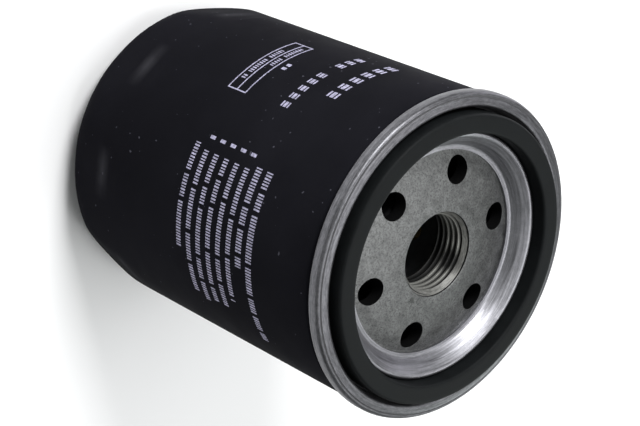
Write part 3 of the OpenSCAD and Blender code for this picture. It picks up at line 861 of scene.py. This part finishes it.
class OILFILTER_OT_plate(bpy.types.Operator):
    """Presses the domed plate, punches its inlet holes and cuts its engine thread"""

    bl_idname = "oilfilter.plate"
    bl_label = "Thread plate"

    # Straight step in the thread's mouth, over the countersink
    MOUTH_STEP = 0.5 * MM
    # Turns of the tap that lie under the plate, which set where the crests stand
    TURNS_UNDER = 3.3

    def execute(self, context):
        s = sizes()
        top = GASKET_LOW.z - s.lid_wall
        under = top - s.plate_wall
        lip_z = PLATE_HIGH.z
        end_z = PLATE_LOW.z
        open_r = GASKET_HIGH.x - s.gasket_w - LIP_GAP - RECESS_RUN
        shoulder_z = top + 0.42 * (lip_z - top)
        collar_r = s.thread_r + 3.55 * MM
        mouth_r = s.thread_r + s.lead_in_w
        bore_r = s.thread_r - 0.6 * MM
        cone_z = lip_z - self.MOUTH_STEP
        cone_h = s.lead_in - self.MOUTH_STEP
        bore_z = cone_z - cone_h * (mouth_r - bore_r) / s.lead_in_w
        piece = turned("threaded_plate", [
            [bore_r, end_z + 0.1 * MM],
            [s.thread_r, end_z + 0.05 * MM],
            [s.thread_r + 0.9 * MM, end_z],
            [collar_r, end_z, 0.5 * MM],
            [collar_r, lip_z - s.plate_wall - 0.3 * MM, 0.7 * MM],
            [open_r - 3.1 * MM, shoulder_z - s.plate_wall, 6 * MM],
            [open_r - 0.4 * MM, under, 1.5 * MM],
            [PLATE_HIGH.x, under, 0.6 * MM],
            [PLATE_HIGH.x, top, 0.6 * MM],
            [open_r - 0.4 * MM, top, 1.5 * MM],
            [open_r - 3.1 * MM, shoulder_z, 6 * MM],
            [mouth_r + 1.6 * MM, lip_z - 0.1 * MM, 2 * MM],
            [mouth_r, lip_z - 0.02 * MM, 0.2 * MM],
            [mouth_r - 0.05 * MM, cone_z],
            [bore_r, bore_z],
        ], steps=240)
        self.cut_away(piece, self.thread_tap(s, end_z, lip_z))
        for i in range(s.inlet_count):
            self.cut_away(piece, self.punch(s, i, (under + lip_z) / 2))
        finish(piece, "housing", pressed_steel(), ["thread_plate"], smooth=28)
        self.finish_cuts(piece, s, lip_z)
        return {"FINISHED"}

    def thread_tap(self, s, end_z, lip_z):
        """A solid tap whose grooves leave the plate's thread crests."""
        pitch = s.thread_pitch
        flank = pitch * 5 / 16
        root_r = s.thread_r + flank / math.tan(math.radians(30))
        z = end_z - self.TURNS_UNDER * pitch
        tap = draw_profile("tap", [
            [s.thread_r, z],
            [s.thread_r, z + pitch / 4],
            [root_r, z + pitch / 4 + flank],
            [root_r, z + pitch * 3 / 8 + flank],
            [s.thread_r, z + pitch],
        ], closed=False)
        leave_edit()
        turns = math.ceil((lip_z - end_z) / pitch) + 6
        apply_modifier(tap, "SCREW", {
            "angle": FULL_TURN, "screw_offset": pitch, "iterations": turns,
            "steps": 120, "render_steps": 120, "axis": "Z"})
        open_piece(tap)
        for z, keep_above in ((end_z - MM, True), (lip_z + MM, False)):
            bpy.ops.mesh.select_all(action="SELECT")
            bpy.ops.mesh.remove_doubles(threshold=MERGE)
            bpy.ops.mesh.bisect(
                plane_co=(0, 0, z), plane_no=(0, 0, 1), use_fill=True, clear_inner=keep_above,
                clear_outer=not keep_above)
        face_outwards()
        return tap

    def punch(self, s, index, z):
        """The punch of one inlet hole, its middle at a height."""
        a = index * FULL_TURN / s.inlet_count
        leave_edit()
        bpy.ops.mesh.primitive_cylinder_add(
            vertices=72, radius=s.inlet_r, depth=12 * MM,
            location=(s.inlet_ring_r * math.cos(a), s.inlet_ring_r * math.sin(a), z))
        return bpy.context.object

    def cut_away(self, piece, tool):
        """Cuts a tool's shape out of the piece and throws the tool away."""
        apply_modifier(piece, "BOOLEAN", {"operation": "DIFFERENCE", "solver": "EXACT", "object": tool})
        bpy.data.objects.remove(tool)

    def finish_cuts(self, piece, s, lip_z):
        """Gives the thread, its lead-in and the walls of the holes their own finishes."""
        plate, thread, punched, lead_in = range(4)
        for material in (cut_thread_steel(), oily_punched_edge(), countersunk_steel()):
            piece.data.materials.append(material)
        mouth_r = s.thread_r + s.lead_in_w
        for face in piece.data.polygons:
            r = math.hypot(face.center.x, face.center.y)
            below = lip_z - face.center.z
            slope = face.normal.z
            # The step in the thread's mouth gets the near-black edge finish: a painted shade line round the
            # mouth
            if abs(r - mouth_r) < 0.1 * MM and below < self.MOUTH_STEP + 0.05 * MM and slope < 0.3:
                face.material_index = punched
            elif r < mouth_r and 0.4 < slope < 0.8 and below < s.lead_in + 0.1 * MM:
                face.material_index = lead_in
            elif r < mouth_r - 0.1 * MM and below > 0.15 * MM:
                face.material_index = thread
            # The walls of the inlet holes get the near-black edge finish: oil and painted shade
            elif abs(r - s.inlet_ring_r) < s.inlet_r and abs(slope) < 0.1:
                face.material_index = punched
            else:
                face.material_index = plate


class OILFILTER_OT_gasket(bpy.types.Operator):
    """Moulds the gasket ring"""

    bl_idname = "oilfilter.gasket"
    bl_label = "Sealing gasket"

    def execute(self, context):
        s = sizes()
        inner, outer = GASKET_HIGH.x - s.gasket_w, GASKET_HIGH.x
        low, high = GASKET_LOW.z, GASKET_HIGH.z
        piece = turned("gasket_ring", [
            [inner, low, 0.6 * MM],
            [outer, low, 0.6 * MM],
            [outer, high, 0.7 * MM],
            [outer - 1.4 * MM, high],
            [inner + 1.4 * MM, high],
            [inner, high, 0.7 * MM],
        ], steps=288)
        rubber = nitrile_rubber("gasket_rubber", finishes().rubber, 0.56)
        finish(piece, "housing", rubber, ["sealing_gasket"], smooth=50)
        return {"FINISHED"}


class OILFILTER_OT_drain_valve(bpy.types.Operator):
    """Moulds the anti-drain valve: its hub, and the skirt that bends to its lip"""

    bl_idname = "oilfilter.drain_valve"
    bl_label = "Anti-drain valve"

    def execute(self, context):
        rubber = nitrile_rubber("valve_rubber", linear("#141416"), 0.5)
        inner = sizes().thread_r + 3.6 * MM
        hub = turned("drain_valve_collar", [
            [inner, HUB_LOW.z, 0.2 * MM],
            [HUB_HIGH.x, HUB_LOW.z, 0.4 * MM],
            [HUB_HIGH.x, HUB_HIGH.z - 1.5 * MM, 0.6 * MM],
            [HUB_HIGH.x - 1 * MM, HUB_HIGH.z, 0.4 * MM],
            [inner, HUB_HIGH.z, 0.2 * MM],
        ], steps=128)
        finish(hub, "housing", rubber, ["drain_valve_hub"], smooth=40)
        root, tip = HUB_HIGH.x + 0.05 * MM, WEB_HIGH.x
        root_low, root_high = WEB_LOW.z, WEB_LOW.z + 1.2 * MM
        skirt = turned("drain_valve_skirt", [
            [root, root_low],
            [(root + tip) / 2, (root_low + DRAIN_LOW.z) / 2 - 0.2 * MM, 12 * MM],
            [tip, DRAIN_LOW.z, 3 * MM],
            [DRAIN_HIGH.x, DRAIN_LOW.z, 0.5 * MM],
            [DRAIN_HIGH.x, DRAIN_HIGH.z, 0.3 * MM],
            [tip, DRAIN_HIGH.z, 0.3 * MM],
            [tip - 0.8 * MM, WEB_HIGH.z - 0.4 * MM, 1 * MM],
            [root, root_high],
        ], steps=160)
        finish(skirt, None, rubber, smooth=40)
        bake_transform(skirt)
        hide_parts("drain_valve_lip", "drain_valve_web")
        return {"FINISHED"}


class OILFILTER_OT_bypass_spring(bpy.types.Operator):
    """Winds the bypass valve's spring from round wire"""

    bl_idname = "oilfilter.bypass_spring"
    bl_label = "Bypass spring"

    def execute(self, context):
        s = sizes()
        rise = COIL_HIGH.z - COIL_LOW.z - 2 * s.wire_r
        leave_edit()
        bpy.ops.mesh.primitive_circle_add(
            vertices=20, radius=s.wire_r, rotation=(math.pi / 2, 0, 0),
            location=(COIL_HIGH.x - s.wire_r, 0, COIL_LOW.z + s.wire_r))
        piece = bpy.context.object
        piece.name = piece.data.name = "bypass_coil"
        bpy.ops.object.transform_apply(location=True, rotation=True)
        apply_modifier(piece, "SCREW", {
            "angle": FULL_TURN, "screw_offset": rise / s.coil_turns, "iterations": s.coil_turns,
            "steps": 48, "render_steps": 48, "axis": "Z"})
        open_piece(piece)
        bpy.ops.mesh.select_all(action="SELECT")
        bpy.ops.mesh.remove_doubles(threshold=TOUCH)
        middle = (COIL_LOW.z + COIL_HIGH.z) / 2
        for above in (False, True):
            pick(piece, lambda e: e.is_boundary and (e.verts[0].co.z > middle) == above, "edges")
            bpy.ops.mesh.edge_face_add()
        face_outwards()
        finish(piece, None, plain_steel("spring_wire", "#c4c6c9", 0.2), smooth=45)
        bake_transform(piece)
        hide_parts("bypass_spring")
        return {"FINISHED"}


class OILFILTER_OT_frame_finishes(bpy.types.Operator):
    """Gives every piece that stays from the frame its own finish"""

    bl_idname = "oilfilter.frame_finishes"
    bl_label = "Hidden pieces"

    def execute(self, context):
        cap_steel = plain_steel("end_cap_tinplate", "#8d9094", 0.34)
        pressed = plain_steel("bypass_pressed_steel", "#a9abae", 0.3)
        paste = cured_paste("cured_plastisol", finishes().plastisol)
        given = {
            "open_end_cap": cap_steel,
            "closed_end_cap": cap_steel,
            "centre_tube": plain_steel("perforated_strip", "#8f9296", 0.36),
            "media_clip": plain_steel("clip_strip", "#a3a6aa", 0.28),
            "bypass_seat": pressed,
            "bypass_cage": pressed,
            "bypass_disc": plain_steel("turned_steel", "#b9bbbe", 0.22),
            "element_spring": plain_steel("blued_spring_steel", "#5d5f68", 0.3),
            "bypass_seal": nitrile_rubber("seal_rubber", linear("#202123"), 0.5),
            "open_end_adhesive": paste,
            "closed_end_adhesive": paste,
            "seam_sealant": cured_paste("seam_compound", linear("#4c6a52")),
            "pleated_media": filter_paper(),
        }
        for name, material in given.items():
            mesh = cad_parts[name].data
            mesh.materials.clear()
            mesh.materials.append(material)
        return {"FINISHED"}


class OILFILTER_OT_stage(bpy.types.Operator):
    """Sets the pale floor, the soft lights and the camera"""

    bl_idname = "oilfilter.stage"
    bl_label = "Stage"

    # Each soft light: turn and lift in degrees, distance and size in metres, watts, colour
    SOFTBOXES = {
        "key_softbox": (-38, 38, 0.75, 0.28, 6.5, (1, 1, 1)),
        "top_softbox": (-160, 76, 0.9, 0.9, 7, (1, 1, 1)),
        "back_strip": (186, 14, 0.9, 0.4, 1.6, (0.93, 1, 0.96)),
        "side_card": (-112, 4, 0.9, 0.42, 2.2, (0.96, 0.94, 1)),
    }
    LIGHTS_AIM = Vector((0, 0, 60 * MM))
    ROOM_COLOUR = (0.95, 0.98, 0.96, 1)
    ROOM_STRENGTH = 0.33
    # The camera: turn, lift and roll in degrees, its distance from the point it aims at, and its lens in mm
    CAMERA_TURN = 16.126
    CAMERA_LIFT = 43.617
    CAMERA_ROLL = 114.488
    CAMERA_AWAY = 439.75 * MM
    CAMERA_AIM = Vector((-4.46 * MM, 1.24 * MM, 52.74 * MM))
    CAMERA_LENS = 103.87

    def execute(self, context):
        self.floor()
        for name, setting in self.SOFTBOXES.items():
            self.softbox(name, *setting)
        world = bpy.data.worlds.new("pale_room")
        context.scene.world = world
        world.use_nodes = True
        room = world.node_tree.nodes["Background"].inputs
        room["Color"].default_value = self.ROOM_COLOUR
        room["Strength"].default_value = self.ROOM_STRENGTH
        context.scene.view_settings.view_transform = "Standard"
        self.camera(context.scene)
        return {"FINISHED"}

    def floor(self):
        """A wide flat floor under the closed end."""
        leave_edit()
        bpy.ops.mesh.primitive_plane_add(size=12, location=(0, 0, -0.02 * MM))
        piece = bpy.context.object
        piece.name = piece.data.name = "floor"
        material, tree, shader, place = new_material("pale_card")
        colour = finishes().floor
        clouds = noise(tree, place, 40, detail=2)
        coat(tree, shader, {
            "Base Color": blended(tree, clouds, rgba(colour, 0.985), rgba(colour, 1.0)),
            "Roughness": 0.9,
            "Specular IOR Level": 0.1,
        })
        piece.data.materials.append(material)

    def towards(self, turn, lift):
        """The direction of a turn and lift in degrees."""
        a, b = math.radians(turn), math.radians(lift)
        return Vector((math.cos(a) * math.cos(b), math.sin(a) * math.cos(b), math.sin(b)))

    def softbox(self, name, turn, lift, away, size, power, colour):
        """A square softbox that faces the middle of the filter from a turn and lift in degrees."""
        light = bpy.data.lights.new(name, "AREA")
        light.color = colour
        light.shape = "SQUARE"
        light.size = size
        light.energy = power
        holder = bpy.data.objects.new(name, light)
        bpy.context.scene.collection.objects.link(holder)
        towards = self.towards(turn, lift)
        holder.location = self.LIGHTS_AIM + away * towards
        holder.rotation_euler = towards.to_track_quat("Z", "Y").to_euler()

    def camera(self, scene):
        """A long lens that looks down on the open end, rolled so that the filter seems to lie."""
        roll = math.radians(self.CAMERA_ROLL)
        back = self.towards(self.CAMERA_TURN, self.CAMERA_LIFT)
        level = (-back).cross(Vector((0, 0, 1))).normalized()
        over = level.cross(-back)
        right = math.cos(roll) * level + math.sin(roll) * over
        up = back.cross(right)
        camera = bpy.data.objects.new("camera", bpy.data.cameras.new("camera"))
        camera.data.sensor_width = 36
        camera.data.lens = self.CAMERA_LENS
        camera.data.clip_start = 0.01
        facing = Matrix((right, up, back)).transposed().to_4x4()
        camera.matrix_world = Matrix.Translation(self.CAMERA_AIM + self.CAMERA_AWAY * back) @ facing
        scene.collection.objects.link(camera)
        scene.camera = camera


class OILFILTER_PT_panel(bpy.types.Panel):
    """Lists the sizes, the finishes and the steps of the filter"""

    bl_idname = "OILFILTER_PT_panel"
    bl_label = "Oil filter"
    bl_space_type = "VIEW_3D"
    bl_region_type = "UI"
    bl_category = "Oil filter"

    def draw(self, context):
        for group in (sizes(), finishes()):
            box = self.layout.box()
            for name in group.__annotations__:
                box.prop(group, name)
        for step in STEPS:
            self.layout.operator(step.bl_idname)


STEPS = (
    OILFILTER_OT_stage,
    OILFILTER_OT_can,
    OILFILTER_OT_print,
    OILFILTER_OT_lid,
    OILFILTER_OT_plate,
    OILFILTER_OT_gasket,
    OILFILTER_OT_drain_valve,
    OILFILTER_OT_bypass_spring,
    OILFILTER_OT_frame_finishes,
)
CLASSES = (FilterSizes, FilterFinishes, *STEPS, OILFILTER_PT_panel)


def register():
    for cls in CLASSES:
        bpy.utils.register_class(cls)
    bpy.types.Scene.oil_filter_sizes = bpy.props.PointerProperty(type=FilterSizes)
    bpy.types.Scene.oil_filter_finishes = bpy.props.PointerProperty(type=FilterFinishes)


def unregister():
    del bpy.types.Scene.oil_filter_finishes
    del bpy.types.Scene.oil_filter_sizes
    for cls in reversed(CLASSES):
        bpy.utils.unregister_class(cls)


def main():
    register()
    for step in STEPS:
        group, name = step.bl_idname.split(".")
        getattr(getattr(bpy.ops, group), name)()


if __name__ == "__main__":
    main()
